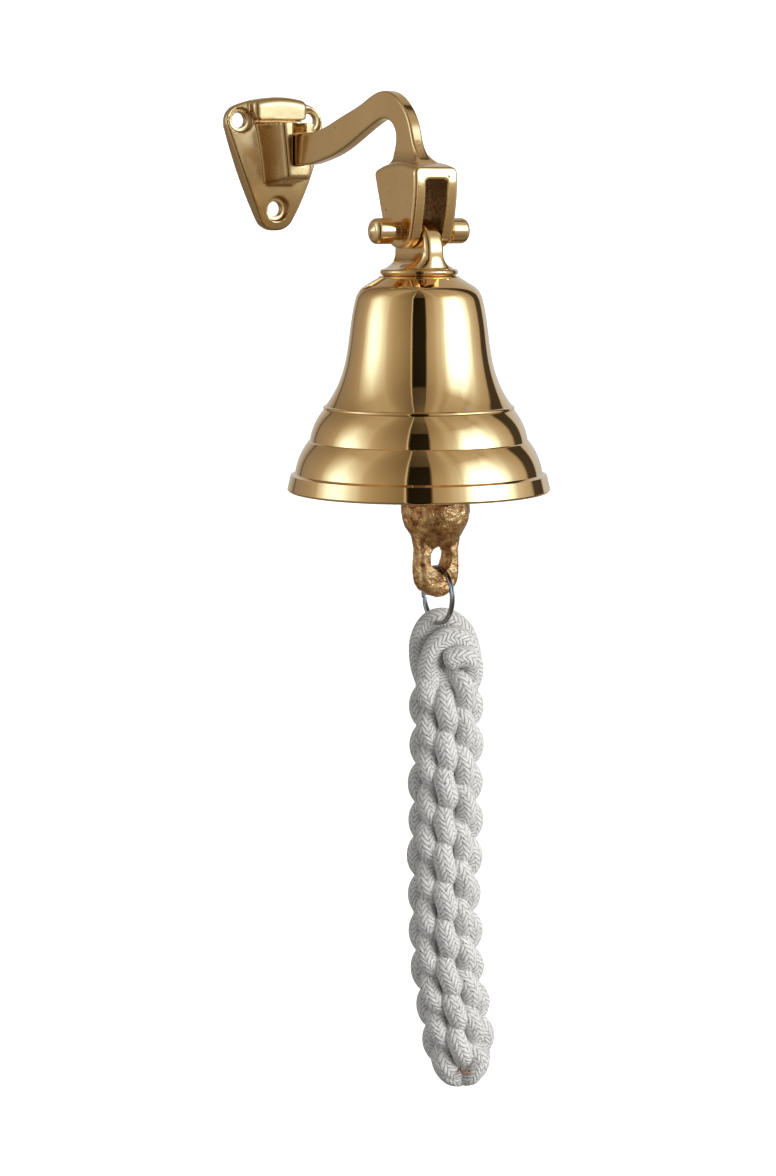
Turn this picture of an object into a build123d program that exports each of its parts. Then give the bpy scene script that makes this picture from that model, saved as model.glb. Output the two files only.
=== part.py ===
"""Wall-hung brass bell: slotted wall plate, gooseneck arm, swinging bell, clapper and braided lanyard.

Frame: +X along the wall, +Y into the wall, +Z up, millimetres.
Origin: on the wall face, at the middle of the wall plate.
"""

import os
from math import pi, radians, tan

from build123d import *

os.makedirs("parts", exist_ok=True)

# ---- driving dimensions ----
REACH = 125.0  # wall face to bell axis
BELL_Y = -REACH
PIN_Z = -26.6  # axis of the bell's pivot
MOUTH_Z = -126.5  # plane of the bell's mouth
MOUTH_R = 51.0  # four-inch bell

PLATE_CORNER_X = 24.0  # where the plate's top arch meets its side, before rounding
PLATE_CORNER_Z = 21.4
PLATE_TOP = 27.8
PLATE_BOTTOM = -27.6
PLATE_FOOT_HALF_W = 5.6
PLATE_MIDDLE_HALF_W = 17.7
PLATE_THICK = 8.0
PLATE_DOME_R = 100.0
SCREW_X = 16.5
SCREW_Z = 18.2
SCREW_LOW_Z = -18.5
SCREW_R = 3.1
SCREW_HEAD_R = 5.1
SCREW_LAND = 3.2  # metal left under each screw head
RAIL_FRONT = 10.4
RAIL_LOW = 18.4
RAIL_HALF = 12.4

SOCKET_FRONT = 26.0
SOCKET_TOP = 16.8
SOCKET_BOTTOM = -6.5
SLOT_HALF = 4.3
SLOT_BACK = 11.5
SLOT_FLOOR = -0.6
LIP_DEPTH = 5.0

ARM_THICK = 5.0
KEY_TOP = 12.6
KEY_GAP = 0.3

CLEVIS_W = 19.0
CLEVIS_GAP = 9.5
CLEVIS_ROOF = -7.2

PIN_R = 3.0
PIN_HOLE_R = 3.06
NUT_R = 4.95
NUT_BASE = 12.7  # distance from the bell's plane to the nut's open end
NUT_LENGTH = 8.8
NUT_CONE = 0.8  # height of the slightly conical end
THREAD_IN_NUT = 5.3

LUG_THICK = 8.4
LUG_R = 13.0
LUG_CENTRE_Z = -34.7
FLANGE_R = 15.1
FLANGE_TOP = -41.0
BELL_TOP = -43.8

STUD_R = 3.0
HOOK_R = 7.6  # bend radius of the hook, so also how far the clapper hangs off the axis
HOOK_Z = -64.0
CLAPPER_X = HOOK_R

LINK_WIRE = 1.25
LINK_BEND = STUD_R + LINK_WIRE + 0.3
LINK_LOW_Z = -84.0

EYE_WIRE = 2.2
EYE_HOLE = 3.2
BALL_R = 13.5
BALL_Z = -134.5
TAIL_THICK = 9.0
TAIL_HALF_W = 9.0
TAIL_BOTTOM = -168.6
TAIL_HOLE_TOP = -147.8
TAIL_HOLE_LOW = -158.2
TAIL_HOLE_HALF = 4.6

RING_R = 11.75
RING_RADIAL = 1.5
RING_WIRE = 0.9
RING_X = 8.8
RING_CLEAR = 0.3
RING_Z = TAIL_HOLE_LOW + RING_CLEAR - (RING_R - RING_RADIAL)

CORD_R = 13.4
CORD_TOP_Z = -203.0
EYE_HOLE_R = 2.8


def save(solid, name):
    """Label a finished piece and write it as its own STEP file."""
    solid.label = name
    export_step(solid, f"parts/{name}.step")


def side_plane(x):
    """A plane facing +X whose sketch axes are row Y and row Z."""
    return Plane(origin=(x, 0, 0), x_dir=(0, 1, 0), z_dir=(1, 0, 0))


def front_plane(y):
    """A plane facing away from the wall (-Y) whose sketch axes are row X and row Z."""
    return Plane(origin=(0, y, 0), x_dir=(1, 0, 0), z_dir=(0, -1, 0))


# ---- wall plate: domed shield with a rail, three screw pads and the slotted socket ----
with BuildPart() as wall_plate:
    with BuildSketch(front_plane(0)) as outline:
        with BuildLine():
            left = (-PLATE_CORNER_X, PLATE_CORNER_Z)
            right = (PLATE_CORNER_X, PLATE_CORNER_Z)
            foot_right = (PLATE_FOOT_HALF_W, PLATE_BOTTOM)
            foot_left = (-PLATE_FOOT_HALF_W, PLATE_BOTTOM)
            ThreePointArc(left, (0, PLATE_TOP), right)
            ThreePointArc(right, (PLATE_MIDDLE_HALF_W, 0), foot_right)
            Line(foot_right, foot_left)
            ThreePointArc(foot_left, (-PLATE_MIDDLE_HALF_W, 0), left)
        make_face()
        top_corners = outline.vertices().group_by(Axis.Y)[-1]
        fillet(top_corners, 7.5)
        foot_corners = outline.vertices().group_by(Axis.Y)[0]
        fillet(foot_corners, 7.8)
    extrude(amount=PLATE_THICK)
    dome_centre = Location((0, PLATE_DOME_R - PLATE_THICK, 0))
    with Locations(dome_centre):
        Sphere(PLATE_DOME_R, mode=Mode.INTERSECT)
    front_rim = wall_plate.faces().sort_by(Axis.Y)[0].edges()
    fillet(front_rim, 1.2)
    # rail across the top, following the arch, between the screw pads
    with BuildPart(mode=Mode.PRIVATE) as rail:
        extrude(outline.sketch, amount=RAIL_FRONT)
        fillet(rail.faces().sort_by(Axis.Y)[0].edges(), 3.2)
        with Locations((0, -RAIL_FRONT / 2, RAIL_LOW + 10)):
            Box(2 * RAIL_HALF, RAIL_FRONT + 2, 20, mode=Mode.INTERSECT)
        ends = rail.edges().filter_by(lambda e: abs(e.center().X) > RAIL_HALF - 0.01 and e.center().Y < -5)
        fillet(ends, 2.4)
    add(rail.part)
    # socket block, tapering to its foot and to its front
    socket_root = front_plane(-4.0)
    with BuildSketch(socket_root):
        Polygon(
            (-10.2, SOCKET_TOP),
            (10.2, SOCKET_TOP),
            (7.0, SOCKET_BOTTOM - 2.6),
            (-7.0, SOCKET_BOTTOM - 2.6),
            align=None,
        )
    with BuildSketch(front_plane(-SOCKET_FRONT)):
        Polygon(
            (-7.9, SOCKET_TOP),
            (7.9, SOCKET_TOP),
            (5.7, SOCKET_BOTTOM),
            (-5.7, SOCKET_BOTTOM),
            align=None,
        )
    loft()
    jamb_corners = wall_plate.edges().filter_by(
        lambda e: e.center().Y < -12 and e.center().Z < SOCKET_TOP - 0.5 and e.length > 4
    )
    fillet(jamb_corners, 2.2)
    # T-shaped slot, open at its top and front
    with BuildSketch(Plane.XY.offset(SLOT_FLOOR)):
        with Locations((0, -(SLOT_BACK + SOCKET_FRONT + 1.0) / 2)):
            Rectangle(2 * SLOT_HALF - 2.8, SOCKET_FRONT + 1.0 - SLOT_BACK)
        with Locations((0, -(SLOT_BACK + SOCKET_FRONT - LIP_DEPTH) / 2)):
            Rectangle(2 * SLOT_HALF + 1.0, SOCKET_FRONT - LIP_DEPTH - SLOT_BACK)
    extrude(amount=40, mode=Mode.SUBTRACT)
    # screw holes, each counterbored into its pad
    for hole_x, hole_z in ((-SCREW_X, SCREW_Z), (SCREW_X, SCREW_Z), (0, SCREW_LOW_Z)):
        with BuildSketch(front_plane(0)):
            with Locations((hole_x, hole_z)):
                Circle(SCREW_R)
        extrude(amount=30, mode=Mode.SUBTRACT)
        with BuildSketch(front_plane(-SCREW_LAND)):
            with Locations((hole_x, hole_z)):
                Circle(SCREW_HEAD_R)
        extrude(amount=30, mode=Mode.SUBTRACT)
save(wall_plate.part, "wall_plate")


# ---- bracket arm: T-shaped key, gooseneck and clevis in one casting ----
def arm_y(distance):
    """Row Y of a point that far behind the bell axis."""
    return BELL_Y + distance


def arm_points(*pairs):
    """Points of the arm's side view, given as distance behind the bell axis and height."""
    return [(arm_y(d), z) for d, z in pairs]


NECK_COLLAR = [  # height, width, depth, distance behind the bell axis
    (7.0, 4.7, 13.6, 7.4),
    (3.4, 5.5, 15.6, 6.6),
    (0.6, 8.2, 19.0, 5.2),
    (-2.6, 13.6, 24.6, 3.6),
]
KEY_FRONT = REACH - SOCKET_FRONT + LIP_DEPTH + KEY_GAP
KEY_BACK = REACH - SLOT_BACK - KEY_GAP

with BuildPart() as bracket_arm:
    with BuildSketch(side_plane(-ARM_THICK / 2)):
        with BuildLine():
            top = arm_points((88, 12.6), (74, 14.2), (59, 18.2), (42, 22.8), (30, 26.6), (21, 26.8))
            top += arm_points((10.4, 22.0), (3.2, 13.4), (0.2, 6.0), (-4.4, 0.6), (-10.0, -4.0))
            Spline(*top, tangents=[(-1, 0), (-1.0, -0.6)])
            under = arm_points((19.0, -4.0), (17.0, 1.0), (14.9, 5.6), (14.6, 10.6), (18.4, 14.8))
            under += arm_points((25.0, 16.2), (32.0, 14.6), (50.6, 7.6), (66.0, 2.8), (80.0, 0.2))
            under += arm_points((92.0, SLOT_FLOOR))
            Spline(*under, tangents=[(-0.4, 1), (1, 0)])
            Line(top[-1], under[0])
            key_side = arm_points((92, SLOT_FLOOR), (KEY_BACK, SLOT_FLOOR), (KEY_BACK, 12.6), (88, 12.6))
            Polyline(*key_side)
        make_face()
    extrude(amount=ARM_THICK)
    long_edges = bracket_arm.edges().filter_by(lambda e: e.length > 60 and not e.is_closed)
    fillet(long_edges, 0.9)
    # head of the T, behind the socket's lips
    with BuildSketch(Plane.XY.offset(SLOT_FLOOR)):
        with Locations((0, BELL_Y + (KEY_FRONT + KEY_BACK) / 2)):
            Rectangle(2 * SLOT_HALF + 1.0 - 2 * KEY_GAP, KEY_BACK - KEY_FRONT)
    extrude(amount=KEY_TOP - SLOT_FLOOR)
    # clevis block
    with BuildSketch(side_plane(-CLEVIS_W / 2)):
        with BuildLine():
            cap = arm_points((19.2, -3.4), (3.0, -0.5), (-13.0, -2.7))
            ThreePointArc(*cap)
            nose = arm_points((-13.0, -2.7), (-13.3, -11.0), (-11.4, -22.4), (-9.2, -29.4))
            Spline(*nose)
            tip = arm_points((-9.2, -29.4), (0.4, -33.4), (10.2, -28.6))
            ThreePointArc(*tip)
            back = arm_points((10.2, -28.6), (13.2, -20.6), (19.2, -3.4))
            Spline(*back)
        make_face()
    extrude(amount=CLEVIS_W)
    rim = bracket_arm.edges().filter_by(lambda e: abs(abs(e.center().X) - CLEVIS_W / 2) < 0.01)
    fillet(rim.filter_by(lambda e: e.center().Z > -3.0), 2.6)
    rim = bracket_arm.edges().filter_by(
        lambda e: abs(abs(e.center().X) - CLEVIS_W / 2) < 0.01 and e.center().Z < -3.6
    )
    fillet(rim, 1.3)
    # hollow-sided collar where the neck spreads onto the clevis
    for height, wide, deep, behind in NECK_COLLAR:
        with BuildSketch(Plane(origin=(0, arm_y(behind), height))):
            RectangleRounded(wide, deep, 1.6)
    loft()
    with BuildSketch(Plane.XZ.offset(-BELL_Y - 40)):
        with Locations((0, (CLEVIS_ROOF - 40) / 2)):
            RectangleRounded(CLEVIS_GAP, CLEVIS_ROOF + 40, 1.6)
    extrude(amount=80, mode=Mode.SUBTRACT)
    with BuildSketch(side_plane(-20)):
        with Locations((BELL_Y, PIN_Z)):
            Circle(PIN_R)
    extrude(amount=40, mode=Mode.SUBTRACT)
save(bracket_arm.part, "bracket_arm")


# ---- pivot bolt with a straight-knurled collar, and its two domed nuts ----
KNURLS = 22
KNURL_R = 3.5
with BuildPart() as clevis_bolt:
    with BuildSketch(side_plane(-NUT_BASE - THREAD_IN_NUT)):
        with Locations((BELL_Y, PIN_Z)):
            Circle(PIN_R)
    extrude(amount=2 * (NUT_BASE + THREAD_IN_NUT))
    with BuildSketch(side_plane(-NUT_BASE)):
        with Locations((BELL_Y, PIN_Z)):
            Circle(KNURL_R - 0.25)
            with PolarLocations(KNURL_R - 0.25, KNURLS):
                Circle(0.27)
    extrude(amount=NUT_BASE - CLEVIS_W / 2)
save(clevis_bolt.part, "clevis_bolt")

with BuildPart() as dome_nuts:
    for side in (-1, 1):
        open_end = Plane(origin=(side * NUT_BASE, BELL_Y, PIN_Z), x_dir=(0, 1, 0), z_dir=(side, 0, 0))
        with BuildSketch(open_end):
            Circle(NUT_R)
        extrude(amount=NUT_LENGTH - NUT_CONE)
        shoulder = dome_nuts.faces().sort_by(Axis.X)[-1 if side > 0 else 0].edges()
        fillet(shoulder, 2.3)
        cone_base = open_end.offset(NUT_LENGTH - NUT_CONE)
        with BuildSketch(cone_base):
            Circle(NUT_R - 2.3)
        with BuildSketch(cone_base.offset(NUT_CONE)):
            Circle(0.4)
        loft()
    mouths = dome_nuts.edges().filter_by(lambda e: abs(e.center().X) < NUT_BASE + 0.1)
    chamfer(mouths, 0.4)
    with BuildSketch(side_plane(-NUT_BASE - THREAD_IN_NUT)):
        with Locations((BELL_Y, PIN_Z)):
            Circle(PIN_R)
    extrude(amount=2 * (NUT_BASE + THREAD_IN_NUT), mode=Mode.SUBTRACT)
save(dome_nuts.part, "dome_nuts")


# ---- crown lug: round-topped eye on a flared, flanged foot ----
LUG_FLARE = [  # height, width, depth, corner radius
    (-33.4, 8.3, 25.9, 2.4),
    (-36.2, 9.6, 26.0, 3.6),
    (-38.4, 13.2, 26.3, 5.6),
    (-40.0, 19.4, 26.8, 8.8),
    (-41.2, 26.6, 27.2, 12.9),
]
with BuildPart() as crown_lug:
    with BuildSketch(side_plane(-LUG_THICK / 2)):
        with Locations((BELL_Y, LUG_CENTRE_Z)):
            Circle(LUG_R)
        with Locations((BELL_Y, (LUG_CENTRE_Z + FLANGE_TOP) / 2)):
            Rectangle(2 * LUG_R, LUG_CENTRE_Z - FLANGE_TOP)
        with Locations((BELL_Y, LUG_CENTRE_Z - LUG_R)):
            Rectangle(4 * LUG_R, 2 * (LUG_R + FLANGE_TOP - LUG_CENTRE_Z), mode=Mode.SUBTRACT)
    extrude(amount=LUG_THICK)
    upper = crown_lug.edges().filter_by(lambda e: e.center().Z > FLANGE_TOP + 0.1)
    fillet(upper.filter_by(lambda e: abs(abs(e.center().X) - LUG_THICK / 2) < 0.01), 2.4)
    # hollow-sided flare from the lug's slab to the round flange
    for height, wide, deep, corner in LUG_FLARE:
        with BuildSketch(Plane(origin=(0, BELL_Y, height))):
            RectangleRounded(wide, deep, corner)
    loft()
    with BuildSketch(side_plane(0)):
        with BuildLine():
            edge_middle = (BELL_Y - FLANGE_R, FLANGE_TOP - 1.3)
            Polyline((BELL_Y, FLANGE_TOP), (BELL_Y - 13.6, FLANGE_TOP))
            ThreePointArc((BELL_Y - 13.6, FLANGE_TOP), edge_middle, (BELL_Y - 14.2, -43.4))
            Polyline((BELL_Y - 14.2, -43.4), (BELL_Y - 14.2, BELL_TOP), (BELL_Y, BELL_TOP))
            Line((BELL_Y, BELL_TOP), (BELL_Y, FLANGE_TOP))
        make_face()
    revolve(axis=Axis((0, BELL_Y, 0), (0, 0, 1)))
    with BuildSketch(side_plane(-20)):
        with Locations((BELL_Y, PIN_Z)):
            Circle(PIN_HOLE_R)
    extrude(amount=40, mode=Mode.SUBTRACT)
    with BuildSketch(Plane.XY.offset(BELL_TOP)):
        with Locations((0, BELL_Y)):
            Circle(STUD_R)
    extrude(amount=8, mode=Mode.SUBTRACT)
save(crown_lug.part, "crown_lug")


# ---- bell ----
def around_bell(radius, z):
    """A point of the bell's half section."""
    return (BELL_Y - radius, z)


with BuildPart() as bell_body:
    with BuildSketch(side_plane(0)):
        with BuildLine():
            crown = [around_bell(3.4, BELL_TOP), around_bell(15.4, BELL_TOP), around_bell(15.6, -44.2)]
            Polyline(*crown, around_bell(20.6, -47.2))
            shoulder = [around_bell(20.6, -47.2), around_bell(23.4, -49.9), around_bell(24.5, -52.6)]
            ThreePointArc(*shoulder)
            waist = [(24.5, -52.6), (26.0, -60.0), (27.3, -70.3), (29.3, -80.0), (32.4, -87.7), (36.1, -93.4)]
            Spline(*[around_bell(r, z) for r, z in waist])
            # small bead, then the two rounded steps and the lip
            Polyline(around_bell(36.1, -93.4), around_bell(36.7, -93.6))
            ThreePointArc(around_bell(36.7, -93.6), around_bell(37.0, -94.2), around_bell(36.8, -94.9))
            ThreePointArc(around_bell(36.8, -94.9), around_bell(40.3, -100.4), around_bell(42.2, -106.9))
            Polyline(around_bell(42.2, -106.9), around_bell(42.8, -107.2))
            ThreePointArc(around_bell(42.8, -107.2), around_bell(46.3, -113.2), around_bell(48.0, -119.4))
            lip = [around_bell(48.0, -119.4), around_bell(49.7, -120.1), around_bell(MOUTH_R, MOUTH_Z + 0.9)]
            Polyline(*lip)
            ThreePointArc(
                around_bell(MOUTH_R, MOUTH_Z + 0.9),
                around_bell(MOUTH_R - 0.4, MOUTH_Z + 0.2),
                around_bell(MOUTH_R - 1.2, MOUTH_Z),
            )
            Polyline(around_bell(MOUTH_R - 1.2, MOUTH_Z), around_bell(46.6, MOUTH_Z))
            inside = [(46.6, MOUTH_Z), (44.4, -117.6), (39.2, -106.0), (34.0, -96.2), (29.2, -87.0)]
            inside += [(25.2, -74.0), (23.2, -61.0), (21.6, -53.6)]
            Spline(*[around_bell(r, z) for r, z in inside])
            ThreePointArc(around_bell(21.6, -53.6), around_bell(19.2, -50.0), around_bell(15.0, -48.0))
            Polyline(around_bell(15.0, -48.0), around_bell(3.4, -47.6), around_bell(3.4, BELL_TOP))
        make_face()
    revolve(axis=Axis((0, BELL_Y, 0), (0, 0, 1)))
save(bell_body.part, "bell_body")


# ---- hook screwed up into the lug, with the washer and nut that clamp the bell ----
with BuildPart() as clapper_hook:
    hook_end = (2 * HOOK_R, BELL_Y, HOOK_Z + 3.0)
    with BuildLine() as hook_line:
        Line((0, BELL_Y, -36.5), (0, BELL_Y, HOOK_Z))
        ThreePointArc((0, BELL_Y, HOOK_Z), (HOOK_R, BELL_Y, HOOK_Z - HOOK_R), (2 * HOOK_R, BELL_Y, HOOK_Z))
        Line((2 * HOOK_R, BELL_Y, HOOK_Z), hook_end)
    with BuildSketch(Plane(origin=(0, BELL_Y, -36.5), z_dir=(0, 0, -1))):
        Circle(STUD_R)
    sweep()
    tip_rim = clapper_hook.edges().filter_by(lambda e: e.center().X > HOOK_R and e.center().Z > HOOK_Z + 2.9)
    fillet(tip_rim.filter_by(GeomType.CIRCLE), 1.2)
save(clapper_hook.part, "clapper_hook")

WASHER_TOP = -47.9
with BuildPart() as crown_washer:
    with BuildSketch(Plane.XY.offset(WASHER_TOP)):
        with Locations((0, BELL_Y)):
            Circle(8.0)
            Circle(3.25, mode=Mode.SUBTRACT)
    extrude(amount=-1.6)
    fillet(crown_washer.edges().group_by(Axis.Z)[0].sort_by(SortBy.LENGTH)[-1], 0.4)
save(crown_washer.part, "crown_washer")

with BuildPart() as crown_nut:
    with BuildSketch(Plane.XY.offset(WASHER_TOP - 1.6)):
        with Locations((0, BELL_Y)):
            RegularPolygon(5.77, 6)
            Circle(STUD_R, mode=Mode.SUBTRACT)
    extrude(amount=-5.0)
    chamfer(crown_nut.edges().group_by(Axis.Z)[0].filter_by(GeomType.LINE), 0.4)
save(crown_nut.part, "crown_nut")


# ---- steel link between hook and clapper ----
HOOK_LOW_Z = HOOK_Z - HOOK_R
with BuildPart() as clapper_link:
    low_centre = LINK_LOW_Z + LINK_BEND
    y_near = BELL_Y - LINK_BEND
    y_far = BELL_Y + LINK_BEND
    with BuildLine():
        Line((CLAPPER_X, y_near, low_centre), (CLAPPER_X, y_near, HOOK_LOW_Z))
        ThreePointArc(
            (CLAPPER_X, y_near, HOOK_LOW_Z),
            (CLAPPER_X, BELL_Y, HOOK_LOW_Z + LINK_BEND),
            (CLAPPER_X, y_far, HOOK_LOW_Z),
        )
        Line((CLAPPER_X, y_far, HOOK_LOW_Z), (CLAPPER_X, y_far, low_centre))
        ThreePointArc(
            (CLAPPER_X, y_far, low_centre),
            (CLAPPER_X, BELL_Y, LINK_LOW_Z),
            (CLAPPER_X, y_near, low_centre),
        )
    with BuildSketch(Plane(origin=(CLAPPER_X, y_near, low_centre), z_dir=(0, 0, 1))):
        Circle(LINK_WIRE)
    sweep()
save(clapper_link.part, "clapper_link")


# ---- clapper: cast in one with its top eye and its lanyard eye ----
EYE_Z = LINK_LOW_Z - (EYE_HOLE - LINK_WIRE - 0.35)
EYE_LOW = EYE_Z - EYE_HOLE - 0.6
TAIL_SHOULDER = -159.4
clapper_plane = Plane(origin=(CLAPPER_X, BELL_Y, 0), x_dir=(1, 0, 0), z_dir=(0, -1, 0))
with BuildPart() as clapper:
    # flattened tail with the eye for the ring
    with BuildSketch(clapper_plane.offset(-TAIL_THICK / 2)):
        with BuildLine():
            Polyline(
                (-TAIL_HALF_W, TAIL_SHOULDER),
                (-TAIL_HALF_W, -150.0),
                (-10.2, -142.0),
                (10.2, -142.0),
                (TAIL_HALF_W, -150.0),
                (TAIL_HALF_W, TAIL_SHOULDER),
            )
            ThreePointArc((TAIL_HALF_W, TAIL_SHOULDER), (0.4, TAIL_BOTTOM), (-TAIL_HALF_W, TAIL_SHOULDER))
        make_face()
    extrude(amount=TAIL_THICK)
    fillet(clapper.edges().filter_by(Axis.Y, reverse=True), 2.6)
    # shank and ball
    with BuildSketch(clapper_plane):
        with BuildLine():
            Polyline((0, -150.0), (0, EYE_LOW), (3.2, EYE_LOW))
            Spline((3.2, EYE_LOW), (3.6, -100.0), (4.8, -114.0), (7.4, -123.2))
            ThreePointArc((7.4, -123.2), (BALL_R, BALL_Z), (11.6, BALL_Z - 6.9))
            Spline((11.6, BALL_Z - 6.9), (9.2, -145.4), (5.4, -150.0))
            Line((5.4, -150.0), (0, -150.0))
        make_face()
    revolve(axis=Axis((CLAPPER_X, BELL_Y, 0), (0, 0, 1)))
    # top eye
    with BuildSketch(Plane(origin=(CLAPPER_X, BELL_Y, EYE_Z))):
        with Locations((EYE_HOLE + EYE_WIRE, 0)):
            Circle(EYE_WIRE)
    revolve(axis=Axis((CLAPPER_X, BELL_Y, EYE_Z), (0, 1, 0)))
    with BuildSketch(clapper_plane.offset(-2 * BALL_R)):
        with Locations((0, (TAIL_HOLE_TOP + TAIL_HOLE_LOW) / 2)):
            SlotOverall(TAIL_HOLE_TOP - TAIL_HOLE_LOW, 2 * TAIL_HOLE_HALF, rotation=90)
    extrude(amount=4 * BALL_R, mode=Mode.SUBTRACT)
    # groove worn over the tail's lower limb by the split ring
    with BuildSketch(Plane(origin=(RING_X, BELL_Y, RING_Z), x_dir=(1, 0, 0), z_dir=(0, -1, 0))):
        with Locations((0, RING_R - RING_RADIAL / 2)):
            RectangleRounded(2 * (RING_WIRE + RING_CLEAR), RING_RADIAL + 2 * RING_CLEAR, 0.5)
    revolve(axis=Axis((RING_X, BELL_Y, RING_Z), (1, 0, 0)), mode=Mode.SUBTRACT)
save(clapper.part, "clapper")


# ---- split ring: two turns of flat wire, pressed together ----
with BuildPart() as split_ring:
    for turn in (-1, 1):
        with BuildSketch(side_plane(RING_X + (turn - 1) * RING_WIRE / 2)):
            with Locations((BELL_Y, RING_Z)):
                Circle(RING_R)
                Circle(RING_R - RING_RADIAL, mode=Mode.SUBTRACT)
        extrude(amount=RING_WIRE)
    fillet(split_ring.edges().filter_by(lambda e: abs(abs(e.center().X - RING_X) - RING_WIRE) < 0.01), 0.3)
save(split_ring.part, "split_ring")


# ---- lanyard: eye round the split ring, thick braid, end seizing ----
def print_radii(points, radii):
    """Say each corner's radius and how many cord diameters it is."""
    for point, radius in zip(points[1:-1], radii):
        diameters = round(radius / (2 * CORD_R), 1)
        print("corner", tuple(point), "radius", round(radius, 1), "diameters", diameters)


def corner_radii(points):
    """0.45 of the shorter run beside each corner, over the tangent of half the turn."""
    radii = []
    for before, here, after in zip(points, points[1:], points[2:]):
        run_in = here - before
        run_out = after - here
        half_turn = radians(run_in.get_angle(run_out)) / 2
        radii.append(0.45 * min(run_in.length, run_out.length) / tan(half_turn))
    return radii


LANYARD_ROUTE = [
    (12.4, BELL_Y, CORD_TOP_Z),
    (12.8, BELL_Y - 0.3, -240.0),
    (12.0, BELL_Y, -280.0),
    (12.6, BELL_Y + 0.2, -312.0),
    (16.6, BELL_Y, -336.0),
    (19.6, BELL_Y, -354.0),
    (21.0, BELL_Y, -370.0),
]

route = [Vector(*point) for point in LANYARD_ROUTE]
route_radii = corner_radii(route)
print_radii(route, route_radii)

with BuildPart() as lanyard_braid:
    with BuildLine() as braid_line:
        FilletPolyline(*route, radius=route_radii)
    first_run = route[1] - route[0]
    with BuildSketch(Plane(origin=route[0], z_dir=first_run.normalized())):
        Circle(CORD_R)
    sweep()
braid_length = sum(edge.length for edge in braid_line.line.edges())
braid_expected = pi * CORD_R**2 * braid_length
print("braid length", round(braid_length, 1))
print("braid volume", round(lanyard_braid.part.volume), "section x length", round(braid_expected))
save(lanyard_braid.part, "lanyard_braid")

EYE_CENTRE = (10.4, -188.4)
EYE_HALF_W = 13.4
EYE_HALF_H = 14.0
EYE_HALF_THICK = 8.6
NECK_R = 10.2
with BuildPart() as lanyard_eye:
    with BuildSketch(front_plane(BELL_Y + EYE_HALF_THICK)):
        with Locations(EYE_CENTRE):
            Ellipse(EYE_HALF_W, EYE_HALF_H)
    extrude(amount=2 * EYE_HALF_THICK)
    fillet(lanyard_eye.edges().filter_by(lambda e: abs(e.center().Y - BELL_Y) > EYE_HALF_THICK - 0.1), 5.0)
    with BuildSketch(Plane.XY.offset(CORD_TOP_Z)):
        with Locations((LANYARD_ROUTE[0][0], BELL_Y)):
            Circle(NECK_R)
    extrude(amount=8.0)
    # curved passage for the split ring
    with BuildSketch(Plane(origin=(RING_X, BELL_Y, RING_Z), x_dir=(1, 0, 0), z_dir=(0, -1, 0))):
        with Locations((0, -RING_R + RING_RADIAL / 2)):
            Circle(EYE_HOLE_R)
    revolve(axis=Axis((RING_X, BELL_Y, RING_Z), (1, 0, 0)), mode=Mode.SUBTRACT)
save(lanyard_eye.part, "lanyard_eye")
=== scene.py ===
"""Looks of a wall-hung brass bell: polished castings, rough clapper, split ring and braided cotton lanyard.

Everything is in metres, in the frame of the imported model: +X along the wall, +Y into it, +Z up.
"""

import math
import random

import bpy
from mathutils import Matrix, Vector


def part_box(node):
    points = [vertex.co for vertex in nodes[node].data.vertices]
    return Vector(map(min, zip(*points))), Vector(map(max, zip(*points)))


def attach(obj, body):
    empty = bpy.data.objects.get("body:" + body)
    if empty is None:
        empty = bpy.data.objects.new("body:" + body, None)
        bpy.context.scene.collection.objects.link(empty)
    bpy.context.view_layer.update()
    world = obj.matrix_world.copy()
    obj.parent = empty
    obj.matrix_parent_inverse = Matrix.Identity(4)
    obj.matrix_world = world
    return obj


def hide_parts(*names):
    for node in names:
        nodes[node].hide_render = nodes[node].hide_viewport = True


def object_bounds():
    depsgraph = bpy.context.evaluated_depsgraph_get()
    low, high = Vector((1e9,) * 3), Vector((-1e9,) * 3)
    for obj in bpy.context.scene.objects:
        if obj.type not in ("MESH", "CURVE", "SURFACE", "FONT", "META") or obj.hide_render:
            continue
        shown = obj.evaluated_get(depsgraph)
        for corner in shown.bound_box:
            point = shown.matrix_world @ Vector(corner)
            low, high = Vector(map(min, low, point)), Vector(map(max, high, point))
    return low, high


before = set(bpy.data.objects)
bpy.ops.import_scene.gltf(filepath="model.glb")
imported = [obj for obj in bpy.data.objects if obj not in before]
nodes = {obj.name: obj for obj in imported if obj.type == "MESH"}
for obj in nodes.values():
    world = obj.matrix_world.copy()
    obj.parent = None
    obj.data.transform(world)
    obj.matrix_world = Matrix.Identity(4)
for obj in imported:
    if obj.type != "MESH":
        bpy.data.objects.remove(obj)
cad_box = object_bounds()
MM = 0.001
UP = Vector((0, 0, 1))


# ---- camera ----
VIEW_AZIMUTH = math.radians(29.33)
VIEW_PITCH = math.radians(-8.3)
camera_data = bpy.data.cameras.new("camera")
camera_data.lens = 80.82
camera_data.sensor_width = 36.0
camera_data.clip_start = 0.05
camera_data.clip_end = 50.0
camera = bpy.data.objects.new("camera", camera_data)
bpy.context.scene.collection.objects.link(camera)
camera.location = (-0.5100, -1.00835, -0.01597)
look = Vector((math.sin(VIEW_AZIMUTH), math.cos(VIEW_AZIMUTH), math.tan(VIEW_PITCH)))
camera.rotation_mode = "QUATERNION"
camera.rotation_quaternion = look.to_track_quat("-Z", "Y")
bpy.context.scene.camera = camera
bpy.context.scene.view_settings.view_transform = "Standard"

# level directions of the photographer's side and of that side's right
TOWARD = Vector((-math.sin(VIEW_AZIMUTH), -math.cos(VIEW_AZIMUTH), 0))
RIGHT = Vector((math.cos(VIEW_AZIMUTH), -math.sin(VIEW_AZIMUTH), 0))


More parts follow.
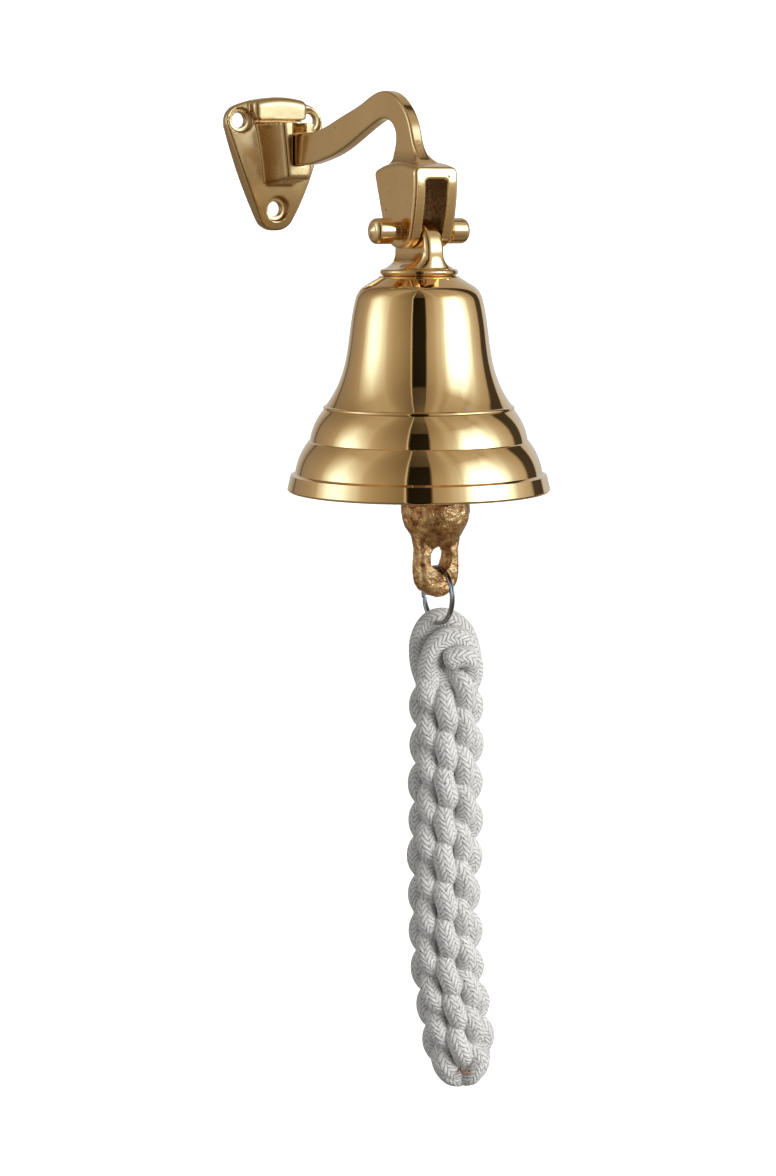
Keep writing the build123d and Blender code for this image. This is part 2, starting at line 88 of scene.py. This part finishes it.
# ---- node helpers ----
class Graph:
    """Short ways to add shader nodes to one tree."""

    def __init__(self, tree):
        self.tree = tree

    def node(self, kind, **settings):
        made = self.tree.nodes.new(kind)
        for name, value in settings.items():
            setattr(made, name, value)
        return made

    def link(self, a, b):
        self.tree.links.new(a, b)

    def put(self, socket, value):
        """Sets a socket to a number, or links it to another socket."""
        if isinstance(value, bpy.types.NodeSocket):
            self.link(value, socket)
        else:
            socket.default_value = value

    def math(self, operation, *values):
        made = self.node("ShaderNodeMath", operation=operation)
        for socket, value in zip(made.inputs, values):
            self.put(socket, value)
        return made.outputs[0]

    def vector(self, operation, *values):
        made = self.node("ShaderNodeVectorMath", operation=operation)
        for socket, value in zip(made.inputs, values):
            self.put(socket, value)
        return made.outputs["Value"] if operation == "DOT_PRODUCT" else made.outputs[0]

    def ramp(self, factor, stops, interpolation="LINEAR"):
        """A colour ramp from (place, value or colour) stops."""
        made = self.node("ShaderNodeValToRGB")
        made.color_ramp.interpolation = interpolation
        elements = made.color_ramp.elements
        while len(elements) < len(stops):
            elements.new(1.0)
        for element, (place, value) in zip(elements, stops):
            element.position = place
            element.color = (*value, 1) if isinstance(value, tuple) else (value, value, value, 1)
        self.put(made.inputs["Fac"], factor)
        return made.outputs["Color"]

    def noise(self, vector, scale, detail=4.0, roughness=0.55):
        made = self.node("ShaderNodeTexNoise")
        self.put(made.inputs["Vector"], vector)
        made.inputs["Scale"].default_value = scale
        made.inputs["Detail"].default_value = detail
        made.inputs["Roughness"].default_value = roughness
        return made.outputs["Fac"]

    def mix(self, factor, a, b):
        made = self.node("ShaderNodeMix", data_type="RGBA")
        self.put(made.inputs[0], factor)
        self.put(made.inputs[6], a)
        self.put(made.inputs[7], b)
        return made.outputs[2]

    def bump(self, height, strength, distance, normal=None):
        made = self.node("ShaderNodeBump")
        made.inputs["Strength"].default_value = strength
        made.inputs["Distance"].default_value = distance
        self.put(made.inputs["Height"], height)
        if normal is not None:
            self.put(made.inputs["Normal"], normal)
        return made.outputs["Normal"]


def new_material(name):
    """An empty Principled material, its graph and its shader node."""
    material = bpy.data.materials.new(name)
    material.use_nodes = True
    graph = Graph(material.node_tree)
    return material, graph, material.node_tree.nodes["Principled BSDF"]


# ---- studio: a soft box at each side, a dark gap behind the camera, white backdrop ----
AZIMUTH_LIGHT = [  # degrees to the right of the photographer's side, brightness of the room there
    (-180, 0.60), (-157, 0.50), (-147, 0.34), (-144, 0.10), (-141, 0.30), (-114, 0.42), (-100, 0.58),
    (-57, 0.70), (-50, 0.58), (-41, 0.46), (-24, 0.34), (-13, 0.27), (13, 0.44), (24, 0.54), (33, 0.74),
    (38, 0.72), (46, 0.52), (84, 0.52), (92, 0.72), (98, 0.76), (106, 0.62), (118, 0.50), (122, 0.07),
    (139, 0.06), (142, 0.62), (180, 0.60),
]
SOFT_BOXES = [  # the same for the two soft boxes
    (-180, 0), (-104, 0), (-96, 0.4), (-88, 0.9), (-80, 1.25), (-72, 0.85), (-64, 0.4), (-54, 0), (35, 0),
    (41, 0.35), (47, 1.7), (54, 3.2), (76, 3.0), (87, 1.1), (98, 0), (180, 0),
]
BOX_HEIGHT = [  # degrees above level, share of a soft box's brightness
    (-90, 0.0), (0.5, 0.0), (4.5, 0.8), (7, 1.0), (10, 1.0), (25, 0.52), (45, 0.07), (70, 0.02), (90, 0.0),
]
ROOM_HEIGHT = [(-90, 0.30), (-40, 0.42), (-10, 0.80), (2, 1.0), (10, 1.0), (45, 0.72), (90, 0.6)]
STRIP_AZIMUTH = [(-180, 1), (-12.0, 1), (-11.0, 0.05), (11.0, 0.05), (12.0, 1), (180, 1)]
STRIP_HEIGHT = [(-90, 0), (40, 0), (42, 0.3), (60, 0.4), (90, 1)]
EDGE_LINE = [(-180, 0), (-14.2, 0), (-13.4, 0.5), (-12.6, 0.5), (-12.0, 0), (180, 0)]
BRIGHTEST = 5.0

world = bpy.data.worlds.new("studio")
bpy.context.scene.world = world
world.use_nodes = True
graph = Graph(world.node_tree)
background = world.node_tree.nodes["Background"]
direction = graph.node("ShaderNodeTexCoord").outputs["Generated"]
to_right = graph.vector("DOT_PRODUCT", direction, tuple(RIGHT))
to_camera = graph.vector("DOT_PRODUCT", direction, tuple(TOWARD))
upward = graph.vector("DOT_PRODUCT", direction, tuple(UP))
azimuth = graph.math("MULTIPLY_ADD", graph.math("ARCTAN2", to_right, to_camera), 0.5 / math.pi, 0.5)
height = graph.math("MULTIPLY_ADD", graph.math("ARCSINE", upward), 1 / math.pi, 0.5)


def by_azimuth(table):
    return graph.ramp(azimuth, [((a + 180) / 360, v / BRIGHTEST) for a, v in table])


def by_height(table):
    return graph.ramp(height, [((h + 90) / 180, v) for h, v in table])


room = graph.math("MULTIPLY", by_azimuth(AZIMUTH_LIGHT), by_height(ROOM_HEIGHT))
boxes = graph.math("MULTIPLY", by_azimuth(SOFT_BOXES), by_height(BOX_HEIGHT))
total = graph.math("ADD", graph.math("ADD", room, boxes), by_azimuth(EDGE_LINE))
# the dark gap behind the camera, seen as the strip down the bell
gap = graph.ramp(azimuth, [((a + 180) / 360, v) for a, v in STRIP_AZIMUTH])
total = graph.math("MULTIPLY", total, graph.math("MAXIMUM", gap, by_height(STRIP_HEIGHT)))
# dim parts of the room are warm and bright ones cool in polished metal, while matt pieces get neutral light
GLARE = [
    (0.05, (1.0, 0.90, 0.72)),
    (0.10, (1.0, 0.98, 0.90)),
    (0.17, (1.0, 1.22, 1.45)),
    (0.27, (1.0, 1.36, 1.85)),
]
mirrored = graph.node("ShaderNodeLightPath").outputs["Is Glossy Ray"]
tone = graph.mix(mirrored, (0.98, 0.99, 1.0, 1), graph.ramp(total, GLARE))
brightness = graph.math("MULTIPLY", total, BRIGHTEST)
graph.link(graph.vector("MULTIPLY", tone, brightness), background.inputs["Color"])
background.inputs["Strength"].default_value = 1.0

# soft window light that the polished metal doesn't mirror
window_data = bpy.data.lights.new("window", "AREA")
window_data.energy = 14.0
window_data.size = 0.8
window_data.color = (0.99, 0.99, 1.0)
window = bpy.data.objects.new("window", window_data)
bpy.context.scene.collection.objects.link(window)
lantern = Vector((0, -0.125, -0.25))
from_window = (TOWARD * 0.62 + RIGHT * 0.72 + UP * 0.25).normalized()
window.location = lantern + from_window * 1.5
window.rotation_mode = "QUATERNION"
window.rotation_quaternion = from_window.to_track_quat("Z", "Y")
window.visible_glossy = False
window.visible_camera = False


def only_for_camera(obj):
    """The white surroundings are seen, and don't light or show in the object."""
    obj.visible_diffuse = False
    obj.visible_glossy = False
    obj.visible_transmission = False
    obj.visible_shadow = False


def white_surface(name, glow):
    """A near-white matt material that also glows."""
    material, _, shader = new_material(name)
    shader.inputs["Base Color"].default_value = (0.9, 0.9, 0.9, 1)
    shader.inputs["Roughness"].default_value = 0.9
    shader.inputs["Emission Color"].default_value = (1, 1, 1, 1)
    shader.inputs["Emission Strength"].default_value = glow
    return material


ROOM = 9.0
FLOOR_Z = cad_box[0].z - 0.12
floor_mesh = bpy.data.meshes.new("floor")
corners = [(-ROOM, -ROOM, FLOOR_Z), (ROOM, -ROOM, FLOOR_Z), (ROOM, ROOM, FLOOR_Z), (-ROOM, ROOM, FLOOR_Z)]
floor_mesh.from_pydata(corners, [], [(0, 1, 2, 3)])
floor = bpy.data.objects.new("floor", floor_mesh)
bpy.context.scene.collection.objects.link(floor)
floor_mesh.materials.append(white_surface("pale_floor", 0.8))
only_for_camera(floor)

bpy.ops.mesh.primitive_uv_sphere_add(segments=48, ring_count=24, radius=ROOM, location=(0, 0, 0))
backdrop = bpy.context.object
backdrop.name = "backdrop"
backdrop.data.materials.append(white_surface("white_backdrop", 1.0))
only_for_camera(backdrop)


# ---- materials ----
def brass(name, dark, light, rough, cloudy=0.10, pits=0.0, wear=0.0, lines=0.0, scratches=0.25, raw=None):
    """Lacquered brass: colour drift, cloudy polish, fine scratches, and casting pits or turning lines.

    raw is the half width and top of an unpolished gap through the casting, in metres.
    """
    material, graph, shader = new_material(name)
    place = graph.node("ShaderNodeTexCoord").outputs["Object"]
    drift = graph.noise(place, 38.0, 3.0)
    cloud = graph.noise(place, 150.0, 5.0)
    colour = graph.mix(graph.ramp(drift, [(0.35, 0.0), (0.7, 1.0)]), (*dark, 1), (*light, 1))
    shader.inputs["Metallic"].default_value = 1.0
    polish = graph.math("MULTIPLY_ADD", cloud, cloudy + wear, rough - 0.4 * cloudy)
    coat = 0.6
    shader.inputs["Coat Roughness"].default_value = 0.05
    shader.inputs["Coat IOR"].default_value = 1.6
    normal = graph.bump(graph.noise(place, 95.0, 2.0), 1.2 * cloudy + 0.5 * wear, 0.0006)
    stretched = graph.node("ShaderNodeMapping")
    graph.link(place, stretched.inputs["Vector"])
    stretched.inputs["Scale"].default_value = (1.0, 1.0, 9.0)
    stretched.inputs["Rotation"].default_value = (0.35, 0.6, 0.2)
    hairs = graph.noise(stretched.outputs["Vector"], 700.0, 2.0)
    normal = graph.bump(hairs, scratches, 0.00003, normal)
    if lines:
        turned = graph.node("ShaderNodeMapping")
        graph.link(place, turned.inputs["Vector"])
        turned.inputs["Scale"].default_value = (0.02, 0.02, 1.0)
        normal = graph.bump(graph.noise(turned.outputs["Vector"], 2600.0, 3.0), lines, 0.00003, normal)
    if pits:
        cells = graph.node("ShaderNodeTexVoronoi", feature="F1")
        graph.link(place, cells.inputs["Vector"])
        cells.inputs["Scale"].default_value = 230.0
        spot = graph.ramp(cells.outputs["Distance"], [(0.06, 0.0), (0.16, 1.0)])
        where = graph.ramp(graph.noise(place, 60.0, 2.0), [(0.56, 1.0), (0.64, 0.0)])
        pit = graph.math("MAXIMUM", spot, where)
        normal = graph.bump(pit, pits, 0.0003, normal)
        colour = graph.mix(pit, (0.20, 0.09, 0.03, 1), colour)
    if raw:
        split = graph.node("ShaderNodeSeparateXYZ")
        graph.link(place, split.inputs[0])
        beside = graph.math("LESS_THAN", graph.math("ABSOLUTE", split.outputs["X"]), raw[0])
        inside = graph.math("MULTIPLY", beside, graph.math("LESS_THAN", split.outputs["Z"], raw[1]))
        skin = graph.noise(place, 420.0, 5.0, 0.7)
        brown = graph.ramp(skin, [(0.35, (0.24, 0.13, 0.055)), (0.65, (0.72, 0.47, 0.23))])
        colour = graph.mix(inside, colour, brown)
        polish = graph.math("ADD", polish, graph.math("MULTIPLY", inside, 0.4))
        coat = graph.math("MULTIPLY_ADD", inside, -coat, coat)
        normal = graph.bump(graph.math("MULTIPLY", skin, inside), 0.7, 0.0008, normal)
    graph.put(shader.inputs["Coat Weight"], coat)
    graph.link(polish, shader.inputs["Roughness"])
    graph.link(colour, shader.inputs["Base Color"])
    graph.link(normal, shader.inputs["Normal"])
    return material


PLATE_BRASS = brass("plate_brass", (0.64, 0.40, 0.16), (0.74, 0.48, 0.205), 0.19, pits=0.25, wear=0.10)
CLEVIS_SLOT = (0.0048, -0.0075)  # half width and top
ARM_BRASS = brass(
    "arm_brass", (0.80, 0.50, 0.20), (0.88, 0.57, 0.245), 0.11, pits=0.5, wear=0.05, raw=CLEVIS_SLOT
)
LUG_BRASS = brass("lug_brass", (0.78, 0.48, 0.19), (0.88, 0.57, 0.245), 0.11, pits=0.4, wear=0.05)
BELL_BRASS = brass(
    "bell_brass", (0.87, 0.535, 0.215), (0.90, 0.57, 0.235), 0.04, cloudy=0.025, lines=0.12, scratches=0.05
)
NUT_BRASS = brass("nut_brass", (0.82, 0.52, 0.22), (0.90, 0.60, 0.28), 0.14, wear=0.04, lines=0.2)

STEEL, graph, shader = new_material("ring_steel")
place = graph.node("ShaderNodeTexCoord").outputs["Object"]
shader.inputs["Metallic"].default_value = 1.0
tint = graph.ramp(graph.noise(place, 300.0), [(0.3, (0.26, 0.25, 0.24)), (0.7, (0.44, 0.43, 0.42))])
graph.link(tint, shader.inputs["Base Color"])
graph.link(graph.math("MULTIPLY_ADD", graph.noise(place, 900.0), 0.18, 0.12), shader.inputs["Roughness"])
graph.link(graph.bump(graph.noise(place, 1800.0), 0.2, 0.00004), shader.inputs["Normal"])

CLAPPER_BRASS, graph, shader = new_material("clapper_brass")
place = graph.node("ShaderNodeTexCoord").outputs["Object"]
shader.inputs["Metallic"].default_value = 1.0
lumps = graph.noise(place, 300.0, 4.0, 0.6)
tarnish = [(0.32, (0.32, 0.12, 0.045)), (0.46, (0.68, 0.34, 0.125)), (0.60, (0.94, 0.61, 0.29))]
tint = graph.ramp(lumps, tarnish)
graph.link(tint, shader.inputs["Base Color"])
rubbed = graph.ramp(graph.noise(place, 140.0, 3.0), [(0.40, 0.42), (0.62, 0.16)])
graph.link(rubbed, shader.inputs["Roughness"])
grit = graph.bump(graph.noise(place, 1300.0, 2.0), 0.6, 0.00025)
graph.link(graph.bump(lumps, 0.9, 0.0011, grit), shader.inputs["Normal"])


def cotton(name):
    """Braided cotton cord: columns of slanting yarns, alternate columns leaning opposite ways, with painted
    shade in the gaps between yarns and painted dark pinholes.
    """
    material, graph, shader = new_material(name)
    uv = graph.node("ShaderNodeUVMap").outputs["UV"]
    place = graph.node("ShaderNodeTexCoord").outputs["Object"]
    split = graph.node("ShaderNodeSeparateXYZ")
    wobble = graph.node("ShaderNodeTexNoise")
    graph.link(place, wobble.inputs["Vector"])
    wobble.inputs["Scale"].default_value = 260.0
    shifted = graph.node("ShaderNodeVectorMath", operation="MULTIPLY_ADD")
    graph.link(wobble.outputs["Color"], shifted.inputs[0])
    shifted.inputs[1].default_value = (1.3, 0.065, 0)
    graph.link(uv, shifted.inputs[2])
    graph.link(shifted.outputs[0], split.inputs[0])
    along, around = split.outputs["X"], split.outputs["Y"]  # millimetres along, turns around
    columns = graph.math("MULTIPLY", around, 10.0)
    across = graph.math("SUBTRACT", graph.math("FRACT", columns), 0.5)
    lean = graph.math("MULTIPLY_ADD", graph.math("PINGPONG", graph.math("FLOOR", columns), 1.0), 2.0, -1.0)
    slant = graph.math("MULTIPLY", graph.math("MULTIPLY", across, lean), 1.35)
    phase = graph.math("FRACT", graph.math("MULTIPLY_ADD", along, 1 / 1.75, slant))
    yarn = graph.math("SINE", graph.math("MULTIPLY", phase, math.pi))
    column = graph.math("COSINE", graph.math("MULTIPLY", across, 0.86 * math.pi))
    weave = graph.math("MULTIPLY", graph.math("POWER", yarn, 0.55), graph.math("POWER", column, 0.45))
    fibre = graph.noise(place, 2600.0, 3.0)
    # painted shade: the yarn colour darkens to grey where the weave's height falls, in the gaps between yarns
    # and between columns
    weave_shade_tones = [(0.10, (0.44, 0.42, 0.39)), (0.42, (0.74, 0.72, 0.69)), (0.80, (0.90, 0.89, 0.865))]
    painted_weave_shade = graph.ramp(weave, weave_shade_tones)
    # painted shade: dark grey specks scattered by noise stand for the shaded pinholes between yarns
    pinhole_shade_tones = [(0.29, (0.30, 0.27, 0.24)), (0.35, (0.86, 0.86, 0.85)), (0.5, (1.0, 1.0, 1.0))]
    painted_pinhole_shade = graph.ramp(graph.noise(place, 1150.0, 2.0, 0.5), pinhole_shade_tones)
    drift = graph.ramp(graph.noise(place, 120.0, 4.0), [(0.3, (0.86, 0.85, 0.83)), (0.7, (1.0, 1.0, 1.0))])
    # the painted weave shade multiplied by the cord's own random tone drift
    weave_shade_and_tone = graph.node("ShaderNodeMix", data_type="RGBA", blend_type="MULTIPLY")
    weave_shade_and_tone.inputs[0].default_value = 1.0
    graph.link(painted_weave_shade, weave_shade_and_tone.inputs[6])
    graph.link(drift, weave_shade_and_tone.inputs[7])
    # the painted pinhole shade multiplied into the colour
    pinhole_shaded = graph.node("ShaderNodeMix", data_type="RGBA", blend_type="MULTIPLY")
    pinhole_shaded.inputs[0].default_value = 1.0
    graph.link(weave_shade_and_tone.outputs[2], pinhole_shaded.inputs[6])
    graph.link(painted_pinhole_shade, pinhole_shaded.inputs[7])
    graph.link(pinhole_shaded.outputs[2], shader.inputs["Base Color"])
    shader.inputs["Roughness"].default_value = 0.92
    shader.inputs["Sheen Weight"].default_value = 0.25
    shader.inputs["Sheen Roughness"].default_value = 0.5
    normal = graph.bump(weave, 0.9, 0.0005)
    graph.link(graph.bump(fibre, 0.35, 0.0001, normal), shader.inputs["Normal"])
    return material


COTTON = cotton("cotton_cord")


def paint(node, material):
    nodes[node].data.materials.clear()
    nodes[node].data.materials.append(material)


paint("wall_plate", PLATE_BRASS)
paint("bracket_arm", ARM_BRASS)
paint("crown_lug", LUG_BRASS)
paint("bell_body", BELL_BRASS)
for node in ("clevis_bolt", "dome_nuts", "clapper_hook", "crown_washer", "crown_nut"):
    paint(node, NUT_BRASS)
paint("clapper_link", STEEL)
paint("clapper", CLAPPER_BRASS)


# ---- tubes along lines ----
def nurbs_line(points, resolution=16):
    """The points of a smooth NURBS line with these control points."""
    curve = bpy.data.curves.new("route", "CURVE")
    curve.dimensions = "3D"
    curve.resolution_u = resolution
    spline = curve.splines.new("NURBS")
    spline.points.add(len(points) - 1)
    for control, point in zip(spline.points, points):
        control.co = (*point, 1)
    spline.order_u = 3
    spline.use_endpoint_u = True
    holder = bpy.data.objects.new("route", curve)
    mesh = bpy.data.meshes.new_from_object(holder)
    line = [v.co.copy() for v in mesh.vertices]
    bpy.data.objects.remove(holder)
    bpy.data.meshes.remove(mesh)
    bpy.data.curves.remove(curve)
    return line


class Line:
    """A line that can be read by distance along it."""

    def __init__(self, points):
        self.points = points
        self.reach = [0.0]
        for a, b in zip(points, points[1:]):
            self.reach.append(self.reach[-1] + (b - a).length)
        self.length = self.reach[-1]

    def at(self, distance):
        """Place and direction, going straight on beyond either end."""
        i = 0
        while i < len(self.points) - 2 and self.reach[i + 1] < distance:
            i += 1
        a, b = self.points[i], self.points[i + 1]
        step = (b - a).normalized()
        return a + step * (distance - self.reach[i]), step


def smooth_line(knots, steps):
    """A Catmull-Rom line through the knots."""
    knots = [knots[0]] + list(knots) + [knots[-1]]
    line = []
    for a, b, c, d in zip(knots, knots[1:], knots[2:], knots[3:]):
        for i in range(steps):
            t = i / steps
            square = (2 * a - 5 * b + 4 * c - d) * t**2
            cube = (3 * b - a - 3 * c + d) * t**3
            line.append(0.5 * (2 * b + (c - a) * t + square + cube))
    line.append(knots[-2].copy())
    return line


CAP = (0.98, 0.85, 0.55)  # heights of an end's rings as shares of the radius
CAP_FLATNESS = 0.6


def tube(name, lines, radius, sides=24):
    """Round-ended tubes along lines, as one mesh, with UV in millimetres along and turns around."""
    vertices, faces, uvs = [], [], []
    for line in lines:
        count = len(line)
        tangents = [(line[min(i + 1, count - 1)] - line[max(i - 1, 0)]).normalized() for i in range(count)]
        side = tangents[0].orthogonal().normalized()
        reach = 0.0
        rings = []  # middle, two directions across, size, distance along
        for i, point in enumerate(line):
            if i:
                reach += (point - line[i - 1]).length
            side = (side - tangents[i] * side.dot(tangents[i])).normalized()
            rings.append((point, side.copy(), tangents[i].cross(side), radius, reach))
        first, last = rings[0], rings[-1]
        start, end = [], []
        for h in CAP:
            size = radius * math.sqrt(1 - h * h)
            back = first[0] - tangents[0] * radius * h * CAP_FLATNESS
            start.append((back, first[1], first[2], size, first[4] - radius * h))
            ahead = last[0] + tangents[-1] * radius * h * CAP_FLATNESS
            end.insert(0, (ahead, last[1], last[2], size, last[4] + radius * h))
        full = start + rings + end
        base = len(vertices)
        for point, a, b, size, reach in full:
            for k in range(sides):
                turn = 2 * math.pi * k / sides
                vertices.append(point + a * math.cos(turn) * size + b * math.sin(turn) * size)
        for i in range(len(full) - 1):
            low, high = base + i * sides, base + (i + 1) * sides
            u0, u1 = full[i][4] / MM, full[i + 1][4] / MM
            for k in range(sides):
                n = (k + 1) % sides
                faces.append((low + k, low + n, high + n, high + k))
                v0, v1 = k / sides, (k + 1) / sides
                uvs.extend([(u0, v0), (u0, v1), (u1, v1), (u1, v0)])
        for i, flip in ((0, True), (len(full) - 1, False)):
            cap = [base + i * sides + k for k in range(sides)]
            faces.append(tuple(reversed(cap)) if flip else tuple(cap))
            uvs.extend([(full[i][4] / MM, 0.5)] * sides)
    mesh = bpy.data.meshes.new(name)
    mesh.from_pydata([tuple(v) for v in vertices], [], faces)
    layer = mesh.uv_layers.new(name="weave")
    layer.data.foreach_set("uv", [c for uv in uvs for c in uv])
    mesh.shade_smooth()
    obj = bpy.data.objects.new(name, mesh)
    bpy.context.scene.collection.objects.link(obj)
    return obj


# ---- lanyard: four-strand crown sinnet ----
ROUTE = [
    (0.0124, -0.1250, -0.2030),
    (0.0128, -0.1253, -0.2400),
    (0.0120, -0.1250, -0.2800),
    (0.0126, -0.1248, -0.3120),
    (0.0166, -0.1250, -0.3360),
    (0.0196, -0.1250, -0.3540),
    (0.0208, -0.1250, -0.3640),
]
STRAND_R = 4.15 * MM
OUTER_R = 10.7 * MM
LAYER = 7.6 * MM
FIRST_LAYER = 2.4 * MM
chance = random.Random(11)
centre = Line(nurbs_line(ROUTE))


def on_braid(radius, degrees, distance):
    """A point beside the braid's centreline, its angle counted from the photographer's side to the right."""
    point, along = centre.at(distance)
    toward = (TOWARD - along * TOWARD.dot(along)).normalized()
    sideways = toward.cross(along)
    turn = math.radians(degrees)
    return point + toward * radius * math.cos(turn) + sideways * radius * math.sin(turn)


LAYERS = 1 + int((centre.length - FIRST_LAYER - 2 * MM) / LAYER)
strands = []
for strand in range(4):
    knots = []
    for layer in range(LAYERS):
        degrees = 45 + 90 * strand + 45 * layer + chance.uniform(-3, 3)
        middle = FIRST_LAYER + LAYER * layer + chance.uniform(-0.5, 0.5) * MM
        bulge = OUTER_R + chance.uniform(-0.4, 0.4) * MM
        closing = max(0.0, (middle - centre.length + 13 * MM) / (12 * MM))
        bulge -= 2.4 * MM * closing
        knots.append(on_braid(3.6 * MM, degrees - 6, middle - 7.9 * MM))
        knots.append(on_braid(bulge - 1.6 * MM, degrees - 6, middle - 4.6 * MM))
        knots.append(on_braid(bulge, degrees, middle))
        knots.append(on_braid(bulge - (1.6 + 2.6 * closing) * MM, degrees + 6, middle + 4.6 * MM))
        knots.append(on_braid((3.6 - 2.2 * closing) * MM, degrees + 6, middle + 7.9 * MM))
        knots.append(on_braid(2.2 * MM, degrees + 24, middle + 4.0 * MM))
    strands.append(smooth_line(knots[:-1], 6))
# the four ends, turned in under the bottom
bottom = centre.length
for degrees, high in ((-62, 11.0), (52, 11.5), (140, 11.0), (-140, 11.5)):
    tuck = [(9.2, degrees, -high), (9.0, degrees * 0.85, -high + 6)]
    tuck += [(6.4, degrees * 0.7, -0.6), (2.2, degrees * 0.6, 1.4)]
    strands.append(smooth_line([on_braid(r * MM, turn, bottom + d * MM) for r, turn, d in tuck], 8))
braid = tube("lanyard_cord", strands, STRAND_R)
core_line = [centre.at(d * MM)[0] for d in range(-2, int(centre.length / MM) - 3, 3)]
core = tube("lanyard_core", [core_line], 8.2 * MM)
for piece in (braid, core):
    piece.data.materials.append(COTTON)


def eye_point(right, up, toward):
    """A point of the top eye, in millimetres right of, above and in front of the braid's top."""
    return Vector(ROUTE[0]) + RIGHT * right * MM + UP * up * MM + TOWARD * toward * MM


loop_lines = []
# the turn that goes through the split ring and forms the outline
outer = [(-4.0, -8, -1), (-8.0, 1, -2), (-9.9, 8, -3), (-9.8, 16, -3), (-6.6, 22.6, -3), (-1.4, 24.8, -2.5)]
outer += [(4.0, 22.6, -2.5), (8.0, 17.6, -2.5), (9.4, 10, -2), (7.5, 2, -1.5), (4.0, -8, -1)]
loop_lines.append(smooth_line([eye_point(*p) for p in outer], 8))
# the turn in front of it
inner = [(-4.4, -8, 3), (-6.6, 1, 5.5), (-6.2, 9, 6.0), (-3.4, 15.8, 5.6), (2.4, 18.8, 4.6), (8.0, 16.0, 3.4)]
inner += [(9.8, 9.5, 2.4), (8.2, 3.0, 2.4), (4.8, -3.0, 4.0), (4.0, -8, 4.0)]
loop_lines.append(smooth_line([eye_point(*p) for p in inner], 8))
# the tucked end
tucked = [(7.6, -3.0, 3.6), (10.2, 3.6, 5.0), (9.6, 9.8, 7.6), (5.8, 11.6, 9.2), (1.4, 10.6, 9.4)]
loop_lines.append(smooth_line([eye_point(*p) for p in tucked], 8))
loop = tube("lanyard_loop", loop_lines, 4.4 * MM)
loop.data.materials.append(COTTON)
# red-brown thread sewn through the bottom end
THREAD, graph, shader = new_material("thread")
shader.inputs["Base Color"].default_value = (0.34, 0.21, 0.15, 1)
shader.inputs["Roughness"].default_value = 0.85
sewn = [(6.0, -8, -4.4), (11.0, 0, -4.2), (11.9, 8, -3.8), (11.5, 16, -3.4), (7.0, 22, -3.4)]
stitch_at = [on_braid(r * MM, degrees, centre.length + d * MM) for r, degrees, d in sewn]
stitch = tube("lanyard_stitch", [smooth_line(stitch_at, 6)], 0.55 * MM, sides=10)
stitch.data.materials.append(THREAD)
for piece in (braid, core, loop, stitch):
    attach(piece, "lanyard")
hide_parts("lanyard_braid")
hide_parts("lanyard_eye")


# ---- split ring: one flat wire of two turns ----
ring_low, ring_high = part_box("split_ring")
RING_CENTRE = (ring_low + ring_high) / 2
RING_MEAN_R = (ring_high.z - ring_low.z) / 2 - 0.75 * MM
turns = []
for i in range(289):
    turn = 2 * i / 288
    swing = min(1.0, max(0.0, (turn - 0.94) / 0.12))
    sideways = (-0.46 + 0.92 * swing * swing * (3 - 2 * swing)) * MM
    angle = math.radians(-12) + 2 * math.pi * turn
    out = Vector((sideways, RING_MEAN_R * math.cos(angle), RING_MEAN_R * math.sin(angle)))
    turns.append(RING_CENTRE + out)
ring_vertices, ring_faces = [], []
SECTION = [  # millimetres across and outwards
    (-0.40, -0.55), (-0.40, 0.55), (-0.22, 0.75), (0.22, 0.75),
    (0.40, 0.55), (0.40, -0.55), (0.22, -0.75), (-0.22, -0.75),
]
for point in turns:
    outward = Vector((0, point.y - RING_CENTRE.y, point.z - RING_CENTRE.z)).normalized()
    for wide, high in SECTION:
        ring_vertices.append(tuple(point + Vector((wide * MM, 0, 0)) + outward * high * MM))
size = len(SECTION)
for i in range(len(turns) - 1):
    for k in range(size):
        n = (k + 1) % size
        ring_faces.append((i * size + k, i * size + n, (i + 1) * size + n, (i + 1) * size + k))
ring_faces.append(tuple(range(size - 1, -1, -1)))
ring_faces.append(tuple(range((len(turns) - 1) * size, len(turns) * size)))
ring_mesh = bpy.data.meshes.new("split_ring_wire")
ring_mesh.from_pydata(ring_vertices, [], ring_faces)
ring_mesh.shade_smooth()
ring_mesh.materials.append(STEEL)
ring = bpy.data.objects.new("split_ring_wire", ring_mesh)
bpy.context.scene.collection.objects.link(ring)
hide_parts("split_ring")
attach(ring, "ring")


# ---- castings: edges softened by the polishing wheel ----
for node, times in (("wall_plate", 5), ("bracket_arm", 4), ("crown_lug", 4)):
    even = nodes[node].modifiers.new("even", "REMESH")
    even.mode = "VOXEL"
    even.voxel_size = 0.0004
    even.use_smooth_shade = True
    soft = nodes[node].modifiers.new("soft", "SMOOTH")
    soft.factor = 0.5
    soft.iterations = times


# ---- clapper: the casting's lumps and pits ----
clapper = nodes["clapper"]
remesh = clapper.modifiers.new("even", "REMESH")
remesh.mode = "VOXEL"
remesh.voxel_size = 0.0005
remesh.use_smooth_shade = True
for name, scale, strength in (("lumps", 0.0055, 0.0011), ("pits", 0.0018, 0.0005)):
    texture = bpy.data.textures.new(name, "CLOUDS")
    texture.noise_scale = scale
    texture.noise_depth = 2
    rough = clapper.modifiers.new(name, "DISPLACE")
    rough.texture = texture
    rough.texture_coords = "LOCAL"
    rough.strength = strength
    rough.mid_level = 0.55
